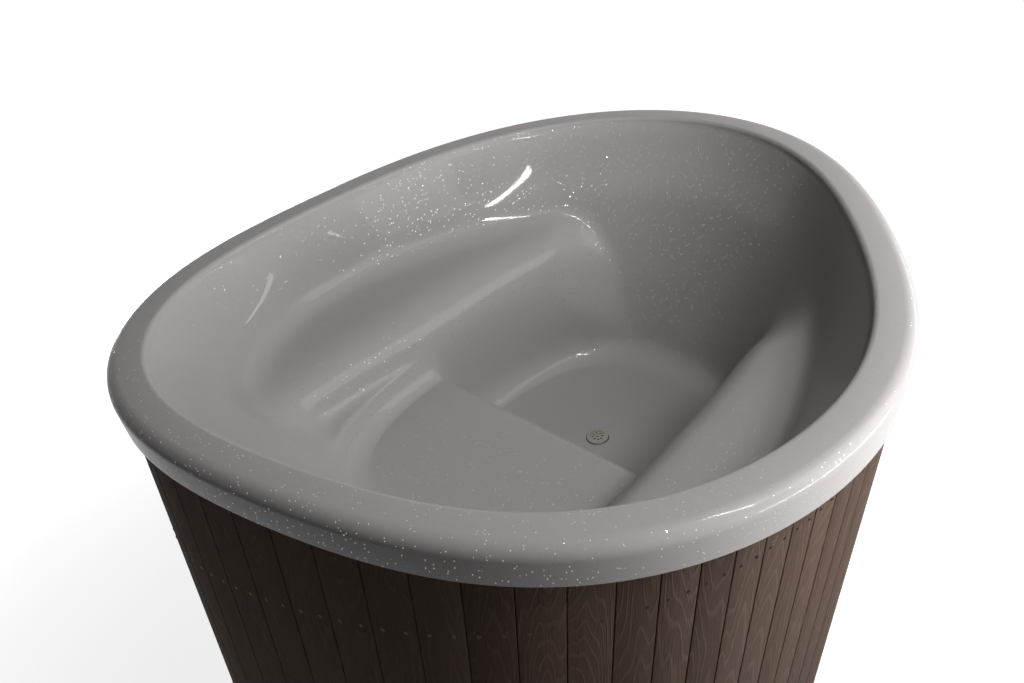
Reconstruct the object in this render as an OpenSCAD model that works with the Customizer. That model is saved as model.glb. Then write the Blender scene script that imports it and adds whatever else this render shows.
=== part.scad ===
// Cold plunge tub: a moulded liner carried in a ring of upright timber staves.
// +X runs towards the foot end and +Z up; the origin is the middle of the ground it covers.
// The bather's middle line is parallel to X, and the well's own middle is the pole.

/* [Overall] */
// Height of the rim above the ground
total_h = 950; // [900:5:1050]

/* [Rim] */
// Mean radius of the rim's outline
rim_radius = 800; // [770:5:840]
// How much further the foot end reaches than the seat end
rim_egg = 44; // [30:1:56]
// How much longer than wide the outline is
rim_oval = 50; // [36:1:60]
// Depth of the three-sided rounding
rim_lobe = 52; // [36:1:58]
// Turn of the three-sided rounding about the pole, in degrees
rim_turn = 14; // [0:1:18]
// Flattening of the long sides
rim_flat = 7; // [0:1:10]
// Four-sided rounding of the outline
rim_square = 4; // [0:1:8]
// Turn of the four-sided rounding about the pole, in degrees
rim_square_turn = 56; // [40:1:70]
// Sideways place of the outline, from the bather's middle line
rim_side = 36; // [20:1:40]
// Width of the rim from outside to inside
rim_w = 80; // [74:1:96]
// Rounding of the rim's outer edge
rim_edge_r = 18; // [12:1:24]
// Rounding of the rim's inner edge
rim_inner_r = 12; // [10:1:16]
// Height of the skirt that hangs from the rim
skirt_h = 74; // [64:1:84]
// How far the skirt draws in towards its lower edge
skirt_draft = 3; // [0:0.5:4]
// Thickness of the moulded shell
shell_t = 8; // [6:0.5:9]

/* [Well] */
// Mean distance between the rim's outline and the well at the top of the armrests
well_edge = 158; // [150:1:166]
// How much further the well reaches at the foot end
well_egg = 17; // [10:1:24]
// How much longer than wide the well is
well_oval = 40; // [34:1:46]
// Depth of the well's three-sided rounding
well_lobe = 33; // [28:1:40]
// Turn of the well's three-sided rounding about the pole, in degrees
well_turn = 2; // [0:1:6]
// Sideways place of the well's outline, from the bather's middle line
well_side = 24; // [20:1:28]
// Depth below the rim at which the armrests leave the wall
well_drop = 160; // [145:1:175]

/* [Armrests] */
// Distance between the armrests and the bather's middle line, where their lips begin
lip_half = 434; // [424:1:444]
// Half the length of the long oval that the lips follow
lip_reach = 1000; // [960:10:1100]
// Place of the middle of that oval, from the pole
lip_x = -100; // [-120:5:-80]
// Depth of an armrest below the rim at its lip
ledge_drop = 222; // [212:1:235]
// Slope of an armrest towards the middle, as its fall in mm
ledge_fall = 8; // [2:1:12]
// Run of the hollow between the wall and a wide armrest
cove_r = 60; // [50:1:70]
// Run of an armrest's rounded lip
lip_run = 98; // [90:1:104]
// Fall of an armrest's rounded lip
lip_fall = 92; // [84:1:98]
// Width at which an armrest stands out in full from the wall
ledge_blend = 90; // [70:5:110]

/* [Seat and footwell] */
// Depth of the seat below the rim
seat_drop = 374; // [355:1:390]
// Depth of the footwell's floor below the rim
floor_drop = 584; // [560:1:610]
// Place of the seat's front edge, from the pole
step_x = -24; // [-45:1:0]
// Run of the seat's rounded front, from the flat to the floor
step_run = 78; // [64:1:96]
// Reach of the footwell from the seat's front edge
foot_reach = 585; // [560:1:610]
// Reach of the seat from its front edge
seat_reach = 480; // [450:1:500]
// Half the width of the well at the seat
floor_half = 330; // [318:1:334]
// Run of the hollow between floor and wall at the two ends
hollow_end = 84; // [60:1:100]
// Run of the hollow between floor and wall at the sides
hollow_side = 36; // [30:1:44]
// Rise of that hollow
hollow_rise = 56; // [44:1:60]
// Squareness of the bed's outline, from 2 for an oval upwards
bed_square = 2.8; // [2.4:0.1:3.2]

/* [Cladding] */
// Number of boards
board_count = 72; // [72:1:72]
// Thickness of a board
board_t = 18; // [16:1:20]
// How much narrower the boards are at the three rounded corners, as a share
board_ease = 0.27; // [0.1:0.01:0.3]
// Place of the first rounded corner, as a share of the way round
board_corner = 0.036; // [0.02:0.001:0.05]
// Joint between two boards
board_gap = 1.6; // [1:0.1:3]
// How far the boards' face stands back from the rim's outline
board_inset = 16; // [14:0.5:20]
// Lean of the boards towards the middle, in degrees
board_lean = 2.7; // [2:0.1:3]
// How far the foot of the boards lies towards the seat end
base_shift = 90; // [70:1:95]
// Height of the boards' lower ends
board_z = 28; // [20:1:40]
// How far the boards reach up behind the skirt
board_tuck = 44; // [36:1:50]

/* [Frame] */
// Thickness of the bent rails
rail_t = 22; // [18:1:24]
// Height of the bent rails
rail_h = 70; // [60:1:80]
// Height of the rim rail
rim_rail_h = 40; // [36:1:46]
// Width of the rim rail
rim_rail_w = 27; // [24:1:28]
// Depth of the upper rail's middle below the rim, at the pole
upper_rail_drop = 232; // [225:1:240]
// Rise of the upper rail along the tub, over one mean radius of the rim
upper_rail_rise = 67; // [40:1:80]
// Fall of the upper rail across the tub, over one mean radius of the rim
upper_rail_fall = 155; // [120:1:160]
// Number of posts
post_count = 10; // [10:1:10]
// Width of a post
post_w = 40; // [34:1:42]
// Depth of a post, from the boards inwards
post_d = 34; // [30:1:35]
// Thickness of the base panel
base_t = 21; // [18:1:24]
// Height of a base joist
joist_h = 45; // [40:1:50]
// Width of a base joist
joist_w = 70; // [60:1:90]
// Thickness of a pad under a joist
pad_t = 10; // [8:1:14]
// Diameter of a pad under a joist
pad_d = 64; // [50:1:70]
// Thickness of a bulkhead under the well
bulkhead_t = 21; // [18:1:24]

/* [Drain] */
// Place of the drain, from the pole
drain_x = 176; // [160:1:200]
// Diameter of the drain's flange
drain_d = 60; // [56:1:70]
// Diameter of the hole in the well's floor
drain_hole_d = 46; // [44:0.5:48]
// Outer diameter of the waste pipe
pipe_d = 32; // [32:1:32]
// Bore of the waste pipe
pipe_bore = 26; // [26:1:26]
// Height of the waste pipe's middle above the ground
pipe_z = 112; // [110:1:118]

/* [Valve] */
// Outer diameter of the valve's body
valve_d = 50; // [48:1:56]
// Length of the valve's body
valve_l = 60; // [58:1:66]
// Diameter of the ball
ball_d = 38; // [37:0.5:40]
// Diameter of the stem
stem_d = 10; // [9:0.5:12]
// Length of the lever from the stem
lever_l = 96; // [80:1:110]
// Width of the lever
lever_w = 18; // [15:1:20]
// Thickness of the lever
lever_t = 3; // [2.5:0.5:4]
// Diameter of the hose thread
hose_d = 26.4; // [25:0.1:27]
// Length of the hose thread
hose_l = 18; // [14:1:20]

/* [Fits] */
// Gap between pieces that seat on each other
seat_gap = 0.3; // [0.2:0.05:0.4]
// Running clearance of the ball and stem
run_gap = 0.1; // [0.06:0.01:0.1]
// Room round the waste pipe where it passes through wood
pipe_room = 4; // [3:0.5:6]

/* [Hidden] */
// Cells along each side of the floor's grid, a quarter of the stations round the well
cells = 24;
stations = 4 * cells;
panel_count = 18;
joist_count = 3;
skirt_z = total_h - skirt_h;
board_top = skirt_z + board_tuck;
base_z = pad_t + joist_h;
deck_z = base_z + base_t;
rim_rail_z = total_h - shell_t - seat_gap - rim_rail_h;
cove_h = ledge_drop - ledge_fall - well_drop;
well_radius = rim_radius - well_edge;
// Share of the fall from the wall's top to the floor that an armrest's section takes up
wall_share = 0.6;
// Greater than any cut by this much, so that cuts pass right through
over = 1;
floor_z = total_h - floor_drop;
seat_z = total_h - seat_drop;

function mix(a, b, f) = a + (b - a) * f;

// Outline of the rim: radius, its change with the angle, and a point set in from it
function rim_r(a) = rim_radius + rim_egg * cos(a) + rim_oval * cos(2 * a)
    + rim_lobe * cos(3 * (a - rim_turn)) + rim_square * cos(4 * (a - rim_square_turn))
    + rim_flat * cos(5 * a);
function rim_change(a) = -rim_egg * sin(a) - 2 * rim_oval * sin(2 * a)
    - 3 * rim_lobe * sin(3 * (a - rim_turn)) - 4 * rim_square * sin(4 * (a - rim_square_turn))
    - 5 * rim_flat * sin(5 * a);
function rim_tangent(a) = let (r = rim_r(a), d = rim_change(a),
    t = [d * cos(a) - r * sin(a), d * sin(a) + r * cos(a)]) t / norm(t);
function rim_point(a, inset) = let (t = rim_tangent(a))
    [rim_r(a) * cos(a), rim_side + rim_r(a) * sin(a)] - inset * [t[1], -t[0]];

// Face of the cladding: a point at an angle, a depth behind the boards' face and a height
function wall_point(a, depth, z) = let (fall = skirt_z - z)
    rim_point(a, board_inset + depth + fall * tan(board_lean)) - [base_shift * fall / skirt_z, 0];

// Middle of the whole outline, rim and cladding together, which stands over the origin
outline = [for (a = [0:1:359]) each [rim_point(a, 0), wall_point(a, 0, board_z)]];
mid_x = (max([for (p = outline) p[0]]) + min([for (p = outline) p[0]])) / 2;
mid_y = (max([for (p = outline) p[1]]) + min([for (p = outline) p[1]])) / 2;

module centred() translate([-mid_x, -mid_y, 0]) children();

// Well: the wall's outline above the armrests, the lips' outline, and how wide and how much of an
// armrest there is at an angle
function well_r(a) = well_radius + well_egg * cos(a) + well_oval * cos(2 * a)
    + well_lobe * cos(3 * (a - well_turn)) + well_side * sin(a);
function well_point(a, run, t) = (well_r(a) + t - run) * [cos(a), sin(a)];
function lip_r(a) = let (g = pow(cos(a) / lip_reach, 2) + pow(sin(a) / lip_half, 2),
    h = cos(a) * lip_x / pow(lip_reach, 2)) (h + sqrt(h * h + g * (1 - pow(lip_x / lip_reach, 2)))) / g;
function ledge_w(a) = well_r(a) - lip_r(a);
function ledge_part(a) = ease(ledge_w(a) / ledge_blend);

// Floor: height of seat, rounded front edge and footwell at a place along X
function ease(s) = s <= 0 ? 0 : s >= 1 ? 1 : s * s * (3 - 2 * s);
function bed_z(x, t) = let (s = (x + t - step_x + step_run / 3) / step_run)
    mix(seat_z, floor_z, ease(s)) - t;
function squared(w) = let (m = pow(abs(w[0]), bed_square) + pow(abs(w[1]), bed_square))
    m == 0 ? w : w * norm(w) / pow(m, 1 / bed_square);
function bed_at(w, reach, half) = let (q = squared(w)) [step_x + reach * q[0], half * q[1]];
function bed_reach(u) = u > 0 ? foot_reach : seat_reach;
function bed_point(w, grow) = bed_at(w, bed_reach(w[0]) + grow, floor_half + grow);
function bed_inner(w, t) = let (
    p = bed_at(w, bed_reach(w[0]) - hollow_end + t, floor_half - hollow_side + t))
    [p[0], p[1], bed_z(p[0], t)];

// Grid over a round floor: square cells that open out to a circle at the edge
function spread(s) = sign(s) * pow(abs(s), 1.5);
function grid_x(u, v) = u * (1 - (1 - sqrt(1 - v * v / 2)) * abs(u));
function grid_y(u, v) = v * sqrt(1 - pow(grid_x(u, 1), 2));
function grid_u(i) = spread(2 * i / cells - 1);
function grid_v(j) = 2 * j / cells - 1;
function edge_ij(k) = k < cells ? [cells, k]
    : k < 2 * cells ? [2 * cells - k, cells]
    : k < 3 * cells ? [0, 3 * cells - k] : [k - 3 * cells, 0];
function unit_of(ij) = [grid_x(grid_u(ij[0]), grid_v(ij[1])), grid_y(grid_u(ij[0]), grid_v(ij[1]))];
function station(k) = let (w = unit_of(edge_ij(k))) atan2(w[1], w[0]);

// Section of the rim, as [inset, height]; t is 0 on the face and shell_t on the back
rim_steps = [0, 30, 60, 90];
function rim_path(t) = concat([[skirt_draft + t, skirt_z]],
    [for (b = rim_steps) [rim_edge_r - (rim_edge_r - t) * cos(b),
        total_h - rim_edge_r + (rim_edge_r - t) * sin(b)]],
    [for (b = rim_steps) [rim_w - rim_inner_r + (rim_inner_r - t) * sin(b),
        total_h - rim_inner_r + (rim_inner_r - t) * cos(b)]]);

// Section of an armrest w wide, as [run from the wall, drop below the rim]
arc_steps = [30, 60, 90];
function ledge_path(w, t) = let (cove = cove_r * w / (cove_r + w)) concat(
    [for (b = arc_steps) [cove - (cove + t) * cos(b), well_drop + (cove_h + t) * sin(b)]],
    [[(cove + w) / 2, ledge_drop - ledge_fall / 2 + t]],
    [for (b = concat([0], arc_steps)) [w + (lip_run - t) * sin(b),
        ledge_drop + lip_fall - (lip_fall - t) * cos(b)]]);

// One station of the shell, from the skirt's edge to the edge of the bed
function section(a, t) = let (
    rim = [for (p = rim_path(t)) let (q = rim_point(a, p[0])) [q[0], q[1], p[1]]],
    top = rim[len(rim) - 1],
    j = well_point(a, 0, t),
    brow = [j[0], j[1], total_h - well_drop],
    w = [cos(a), sin(a)],
    b = bed_point(w, t),
    foot = [b[0], b[1], bed_z(b[0], t) + t + hollow_rise],
    path = ledge_path(max(ledge_w(a), 0), t),
    steps = len(path),
    plain = [for (i = [1:steps]) mix(brow, foot, wall_share * i / steps)],
    arm = [for (p = path) let (q = well_point(a, p[0], 0)) [q[0], q[1], total_h - p[1]]],
    shelf = [for (i = [0:steps - 1]) mix(plain[i], arm[i], ledge_part(a))],
    last = shelf[steps - 1],
    inner = bed_inner(w, t))
    concat(rim, [mix(top, brow, 0.5), brow], shelf, [mix(last, foot, 0.5), foot],
        [for (g = arc_steps) let (x = mix(b[0], inner[0], 1 - cos(g)), y = mix(b[1], inner[1], 1 - cos(g)))
            [x, y, bed_z(x, t) + (hollow_rise + t) * (1 - sin(g))]]);

// Triangles of a band between two rings of points, and of the bed's grid
function band(lower, upper, count, flip) = [for (k = [0:count - 1]) let (n = (k + 1) % count,
    a = lower + k, b = lower + n, c = upper + n, d = upper + k)
    each flip ? [[a, c, b], [a, d, c]] : [[a, b, c], [a, c, d]]];
function grid_index(i, j, ring, first) = j == 0 && i > 0 ? ring + (3 * cells + i) % stations
    : i == cells ? ring + j
    : j == cells ? ring + 2 * cells - i
    : i == 0 ? ring + 3 * cells - j
    : first + (i - 1) * (cells - 1) + j - 1;
function bed_faces(ring, first, flip) = [for (i = [0:cells - 1]) for (j = [0:cells - 1]) let (
    a = grid_index(i, j, ring, first), b = grid_index(i + 1, j, ring, first),
    c = grid_index(i + 1, j + 1, ring, first), d = grid_index(i, j + 1, ring, first))
    each flip ? [[a, c, b], [a, d, c]] : [[a, b, c], [a, c, d]]];
function bed_points(t) = [for (i = [1:cells - 1]) for (j = [1:cells - 1])
    bed_inner(unit_of([i, j]), t)];

module liner_shell() {
    angles = [for (k = [0:stations - 1]) station(k)];
    face = [for (a = angles) section(a, 0)];
    back = [for (a = angles) section(a, shell_t)];
    rings = len(face[0]);
    face_points = [for (r = [0:rings - 1]) for (k = [0:stations - 1]) face[k][r]];
    back_points = [for (r = [0:rings - 1]) for (k = [0:stations - 1]) back[k][r]];
    face_bed = bed_points(0);
    back_bed = bed_points(shell_t);
    back_start = len(face_points) + len(face_bed);
    points = concat(face_points, face_bed, back_points, back_bed);
    last = (rings - 1) * stations;
    faces = concat(
        [for (r = [0:rings - 2]) each band(r * stations, (r + 1) * stations, stations, true)],
        bed_faces(last, rings * stations, true),
        [for (r = [0:rings - 2]) each band(back_start + r * stations, back_start + (r + 1) * stations,
            stations, false)],
        bed_faces(back_start + last, back_start + rings * stations, false),
        band(back_start, 0, stations, true));
    polyhedron(points, faces);
}

module liner() color("gainsboro") centred() difference() {
    liner_shell();
    translate([drain_x, 0, floor_z - 2 * shell_t]) cylinder(d = drain_hole_d, h = 3 * shell_t, $fn = 48);
}

measure = [for (a = 0, s = 0; a <= 360; s = s + norm(wall_point(a + 1, 0, skirt_z)
    - wall_point(a, 0, skirt_z)), a = a + 1) [s, a]];
girth = measure[360][0];
corners = 3;
function board_share(k) = let (u = k / board_count)
    u - board_ease * sin(corners * 360 * (u - board_corner)) / (corners * 2 * PI);
function seam(k) = lookup(girth * (board_share(k) - floor(board_share(k))), measure)
    + 360 * floor(board_share(k));

// Four corners of a slab that follows one board, narrowed by margin at each side
function slab_ring(k, near, far, margin, z) = let (
    a = wall_point(seam(k), near, z), b = wall_point(seam(k + 1), near, z),
    c = wall_point(seam(k + 1), far, z), d = wall_point(seam(k), far, z),
    e = (b - a) / norm(b - a), f = (c - d) / norm(c - d))
    [for (p = [a + e * margin, b - e * margin, c - f * margin, d + f * margin]) [p[0], p[1], z]];
box_faces = [[0, 1, 2, 3], [7, 6, 5, 4], [0, 4, 5, 1], [1, 5, 6, 2], [2, 6, 7, 3], [3, 7, 4, 0]];
module block(low, high) polyhedron(concat(low, high), box_faces);

module stave(k) block(slab_ring(k, 0, board_t, board_gap / 2, board_z),
    slab_ring(k, 0, board_t, board_gap / 2, board_top));
module cladding(i) color("saddlebrown") centred() difference() {
    for (k = [0:board_count / panel_count - 1]) stave((i - 1) * board_count / panel_count + k);
    waste_way();
}

// Way of the waste pipe through a bulkhead, the lower rail and the boards
module waste_way() translate([drain_x + pipe_d, 0, pipe_z]) rotate([0, 90, 0])
    cylinder(d = pipe_d + 2 * pipe_room, h = rim_radius, $fn = 32);

// Posts on the base panel, right behind the boards; a point on the chord of a post's board
frame_near = board_t + seat_gap;
function post_board(i) = round((i - 0.5) * board_count / post_count) - 1;
function chord_point(k, depth, along, z) = let (a = wall_point(seam(k), depth, z),
    b = wall_point(seam(k + 1), depth, z)) (a + b) / 2 + along * (b - a) / norm(b - a);
function post_ring(k, z) = [for (c = [[frame_near, -1], [frame_near, 1],
        [frame_near + post_d, 1], [frame_near + post_d, -1]])
    let (p = chord_point(k, c[0], c[1] * post_w / 2, z)) [p[0], p[1], z]];
module post(i) color("tan") centred() block(post_ring(post_board(i), deck_z + seat_gap),
    post_ring(post_board(i), rim_rail_z - seat_gap));

// Rim rail: a closed ring on top of the posts
module rim_rail() color("burlywood") centred() {
    corners = [[frame_near, rim_rail_z], [frame_near + rim_rail_w, rim_rail_z],
        [frame_near + rim_rail_w, rim_rail_z + rim_rail_h], [frame_near, rim_rail_z + rim_rail_h]];
    points = [for (c = corners) for (k = [0:board_count - 1])
        let (p = wall_point(seam(k), c[0], c[1])) [p[0], p[1], c[1]]];
    polyhedron(points, [for (i = [0:3]) each
        band(i * board_count, (i + 1) % 4 * board_count, board_count, false)]);
}

// Rail of lengths that fit between the posts
function on_slope(p, z, slope) = z + slope * p;
function rail_line(i, depth, z, slope) = let (first = post_board(i), last = post_board(i + 1),
    reach = post_w / 2 + seat_gap,
    low = on_slope(chord_point(first, depth, reach, z), z, slope),
    high = on_slope(chord_point(last, depth, -reach, z), z, slope))
    concat([chord_point(first, depth, reach, low)],
        [for (k = [first + 1:last])
            wall_point(seam(k), depth, on_slope(wall_point(seam(k), depth, z), z, slope))],
        [chord_point(last, depth, -reach, high)]);
module rail_length(i, z, slope) {
    profile = [[frame_near, z], [frame_near + rail_t, z], [frame_near + rail_t, z + rail_h],
        [frame_near, z + rail_h]];
    lines = [for (c = profile) [for (p = rail_line(i, c[0], c[1], slope))
        [p[0], p[1], c[1] + slope * p]]];
    n = len(lines[0]);
    points = [for (q = lines) each q];
    sides = [for (c = [0:3]) for (k = [0:n - 2]) let (a = c * n + k, b = (c + 1) % 4 * n + k)
        each [[a, a + 1, b + 1], [a, b + 1, b]]];
    polyhedron(points, concat(sides, [[0, n, 2 * n, 3 * n], [4 * n - 1, 3 * n - 1, 2 * n - 1, n - 1]]));
}
module rail(z, slope) for (i = [1:post_count]) rail_length(i, z, slope);

// Upper rail, on a slope, behind the row of board screws
module upper_rail() color("burlywood") centred()
    rail(total_h - upper_rail_drop - rail_h / 2, [upper_rail_rise, -upper_rail_fall] / rim_radius);
module lower_rail() color("burlywood") centred() difference() {
    rail(deck_z + seat_gap, [0, 0]);
    waste_way();
}

// Base panel, cut square to clear the boards at both its faces
module deck_outline(z) polygon([for (k = [0:board_count - 1]) wall_point(seam(k), frame_near, z)]);
module base_panel() color("peru") centred() translate([0, 0, base_z]) linear_extrude(base_t)
    intersection() {
        deck_outline(base_z);
        deck_outline(deck_z);
    }

// Base joists across the tub, each on two pads
joist_x = [-470, 20, 480];
function joist_span(x) = let (side = [for (k = [0:board_count - 1])
    let (p = wall_point(seam(k), frame_near + post_d, board_z)) if (abs(p[0] - x) < rim_w) p[1]])
    [max([for (y = side) if (y < 0) y]), min([for (y = side) if (y > 0) y])];
module joist(i) color("tan") centred() {
    x = joist_x[i - 1];
    span = joist_span(x);
    translate([x - joist_w / 2, span[0], pad_t]) cube([joist_w, span[1] - span[0], joist_h]);
}
module pad(i) color("dimgray") centred() {
    x = joist_x[floor((i - 1) / 2)];
    span = joist_span(x);
    y = i % 2 == 0 ? span[0] + pad_d : span[1] - pad_d;
    translate([x, y, 0]) cylinder(d = pad_d, h = pad_t, $fn = 48);
}

// Bulkheads: upright panels that carry the well from below, with a rounded opening in the middle
bulkhead_x = [-360, -150, 90, 330];
bulkhead_flare = 40;
bulkhead_corner = 30;
bulkhead_open_w = 150;
function bed_half(x) = let (reach = (x > step_x ? foot_reach : seat_reach) - hollow_end)
    (floor_half - hollow_side) * sqrt(1 - pow((x - step_x) / reach, 2));
module bulkhead(i) color("peru") centred() {
    x = bulkhead_x[i - 1];
    half = bed_half(x);
    z = deck_z + seat_gap;
    h = bed_z(x + bulkhead_t / 2, shell_t) - seat_gap - z;
    open_h = h / 8 + 2 * bulkhead_corner;
    difference() {
        translate([x + bulkhead_t / 2, 0, z]) rotate([0, -90, 0]) linear_extrude(bulkhead_t) difference() {
            polygon([[0, -half - bulkhead_flare], [h, -half], [h, half], [0, half + bulkhead_flare]]);
            translate([h - open_h, 0]) offset(r = bulkhead_corner)
                square([open_h, bulkhead_open_w] - 2 * [bulkhead_corner, bulkhead_corner], center = true);
        }
        waste_way();
    }
}

// Drain: flange on the floor, strainer in it, gasket and lock nut under it
tail_d = drain_hole_d - 2;
tail_wall = 2;
tail_l = 58;
flange_t = 4;
flange_bevel = 2.5;
module on_drain(z) translate([drain_x, 0, z]) children();
module drain_flange() color("silver") centred() on_drain(floor_z) difference() {
    union() {
        translate([0, 0, seat_gap])
            cylinder(d1 = drain_d, d2 = drain_d - 2 * flange_bevel, h = flange_t, $fn = 64);
        translate([0, 0, -tail_l]) cylinder(d = tail_d, h = tail_l + over, $fn = 64);
    }
    translate([0, 0, -tail_l - over]) cylinder(d = pipe_d + 2 * seat_gap, h = tail_l + flange_t, $fn = 64);
    cylinder(d = tail_d - 2 * tail_wall, h = 2 * flange_t, $fn = 64);
}
strainer_d = tail_d - 2 * tail_wall - 2 * seat_gap;
strainer_t = 3;
strainer_hole_d = 6;
strainer_ring = 12.5;
module strainer() color("gray") centred() on_drain(floor_z + seat_gap) difference() {
    cylinder(d = strainer_d, h = strainer_t, $fn = 64);
    for (a = [0:45:315]) rotate(a) translate([strainer_ring, 0, 0]) strainer_hole();
    strainer_hole();
}
module strainer_hole() translate([0, 0, -over])
    cylinder(d = strainer_hole_d, h = strainer_t + 2 * over, $fn = 24);
gasket_t = 3;
gasket_edge = 2;
module drain_gasket() color("black") centred()
    on_drain(floor_z - shell_t - seat_gap - gasket_t) difference() {
        cylinder(d = drain_d + 2 * gasket_edge, h = gasket_t, $fn = 64);
        translate([0, 0, -over]) cylinder(d = tail_d + 2 * seat_gap, h = gasket_t + 2 * over, $fn = 64);
    }
nut_h = 12;
nut_edge = 6;
module lock_nut() color("dimgray") centred()
    on_drain(floor_z - shell_t - 2 * seat_gap - gasket_t - nut_h) difference() {
        cylinder(d = drain_d + 2 * nut_edge, h = nut_h, $fn = 8);
        translate([0, 0, -over]) cylinder(d = tail_d + 2 * seat_gap, h = nut_h + 2 * over, $fn = 64);
    }
elbow_r = 34;
socket_d = 42;
socket_l = 22;
pipe_stop = 4;
drop_low = pipe_z + elbow_r + pipe_stop;
drop_high = floor_z - tail_l + socket_l;
module tube(outer, inner, length) difference() {
    cylinder(d = outer, h = length, $fn = 64);
    translate([0, 0, -over]) cylinder(d = inner, h = length + 2 * over, $fn = 64);
}
module drop_pipe() color("white") centred() on_drain(drop_low)
    tube(pipe_d, pipe_bore, drop_high - drop_low);
// Elbow: a quarter bend with a socket at each end
module elbow() color("whitesmoke") centred() translate([drain_x + elbow_r, 0, pipe_z + elbow_r]) {
    rotate([90, 0, 0]) rotate([0, 0, 180]) rotate_extrude(angle = 90, $fn = 64)
        translate([elbow_r, 0]) difference() {
            circle(d = socket_d, $fn = 48);
            circle(d = pipe_bore, $fn = 48);
        }
    translate([-elbow_r, 0, 0]) socket();
    translate([0, 0, -elbow_r]) rotate([0, 90, 0]) socket();
}
module socket() difference() {
    cylinder(d = socket_d, h = socket_l + pipe_stop, $fn = 64);
    translate([0, 0, -over]) cylinder(d = pipe_bore, h = socket_l, $fn = 64);
    translate([0, 0, pipe_stop - seat_gap])
        cylinder(d = pipe_d + 2 * seat_gap, h = socket_l + seat_gap + over, $fn = 64);
}
face_x = wall_point(0, 0, pipe_z)[0];
waste_low = drain_x + elbow_r + pipe_stop;
valve_off = 4;
valve_x = face_x + valve_off;
thread_l = 14;
module waste_pipe() color("white") centred() translate([waste_low, 0, pipe_z]) rotate([0, 90, 0])
    tube(pipe_d, pipe_bore, valve_x + thread_l - waste_low - seat_gap);

// Valve: body with a ball in it, turned by a lever on its stem
ball_x = valve_x + valve_l / 2;
neck_d = 22;
neck_h = 10;
stem_rise = 18;
stem_top = valve_d / 2 + neck_h + stem_rise;
belly_l = valve_l * 0.55;
belly_rise = 3;
module at_ball() translate([ball_x, 0, pipe_z]) children();
module valve_body() color("goldenrod") centred() at_ball() difference() {
    union() {
        rotate([0, 90, 0]) cylinder(d = valve_d - 2 * belly_rise, h = valve_l, center = true, $fn = 64);
        rotate([0, 90, 0]) cylinder(d = valve_d, h = belly_l, center = true, $fn = 64);
        cylinder(d = neck_d, h = valve_d / 2 + neck_h, $fn = 48);
    }
    sphere(d = ball_d + 2 * run_gap, $fn = 96);
    rotate([0, 90, 0]) cylinder(d = pipe_bore, h = valve_l + 2 * over, center = true, $fn = 64);
    for (side = [-1, 1]) translate([side * (valve_l / 2 - thread_l), 0, 0]) rotate([0, 90 * side, 0])
        cylinder(d = pipe_d + 2 * seat_gap, h = thread_l + over, $fn = 64);
    cylinder(d = stem_d + 2 * run_gap, h = valve_d + neck_h, $fn = 48);
}
module ball_stem() color("silver") centred() at_ball() difference() {
    union() {
        sphere(d = ball_d, $fn = 96);
        cylinder(d = stem_d, h = stem_top, $fn = 48);
    }
    rotate([0, 90, 90]) cylinder(d = pipe_bore - 2 * run_gap, h = valve_d, center = true, $fn = 64);
}
gland_h = 6;
gland_edge = 1;
module gland_nut() color("goldenrod") centred() at_ball()
    translate([0, 0, valve_d / 2 + neck_h + seat_gap]) difference() {
        cylinder(d = neck_d - 2 * gland_edge, h = gland_h, $fn = 6);
        translate([0, 0, -over]) cylinder(d = stem_d + 2 * run_gap, h = gland_h + 2 * over, $fn = 48);
    }
lever_z = valve_d / 2 + neck_h + gland_h + 2 * seat_gap;
boss_rise = 2;
module lever() color("firebrick") centred() at_ball() translate([0, 0, lever_z]) difference() {
    union() {
        cylinder(d = lever_w + 2 * boss_rise, h = lever_t, $fn = 48);
        translate([-lever_w / 2, 0, 0]) cube([lever_w, lever_l - lever_w / 2, lever_t]);
        translate([0, lever_l - lever_w / 2, 0]) cylinder(d = lever_w, h = lever_t, $fn = 48);
    }
    translate([0, 0, -over]) cylinder(d = stem_d + 2 * seat_gap, h = lever_t + 2 * over, $fn = 48);
}
lever_nut_d = 1.8 * stem_d;
lever_nut_h = 0.7 * stem_d;
module lever_nut() color("silver") centred() at_ball()
    translate([0, 0, lever_z + lever_t + seat_gap]) difference() {
        cylinder(d = lever_nut_d, h = lever_nut_h, $fn = 6);
        translate([0, 0, -over]) cylinder(d = stem_d + 2 * seat_gap, h = lever_nut_h + 2 * over, $fn = 48);
    }
// Hose tail: a nipple in the valve, a six-sided collar and a spigot with a hose thread
collar_d = 40;
collar_h = 9;
tail_bore = 20;
module hose_tail() color("goldenrod") centred()
    translate([ball_x + valve_l / 2 - thread_l + seat_gap, 0, pipe_z]) rotate([0, 90, 0]) difference() {
        nipple_l = thread_l + seat_gap;
        union() {
            cylinder(d = pipe_d, h = nipple_l, $fn = 64);
            translate([0, 0, nipple_l]) cylinder(d = collar_d, h = collar_h, $fn = 6);
            translate([0, 0, nipple_l + collar_h]) cylinder(d = hose_d, h = hose_l, $fn = 64);
        }
        translate([0, 0, -over])
            cylinder(d = tail_bore, h = nipple_l + collar_h + hose_l + 2 * over, $fn = 64);
    }

liner();
for (i = [1:panel_count]) cladding(i);
rim_rail();
upper_rail();
lower_rail();
for (i = [1:post_count]) post(i);
base_panel();
for (i = [1:joist_count]) joist(i);
for (i = [1:2 * joist_count]) pad(i);
for (i = [1:4]) bulkhead(i);
drain_flange();
strainer();
drain_gasket();
lock_nut();
drop_pipe();
elbow();
waste_pipe();
valve_body();
ball_stem();
gland_nut();
lever();
lever_nut();
hose_tail();
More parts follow.
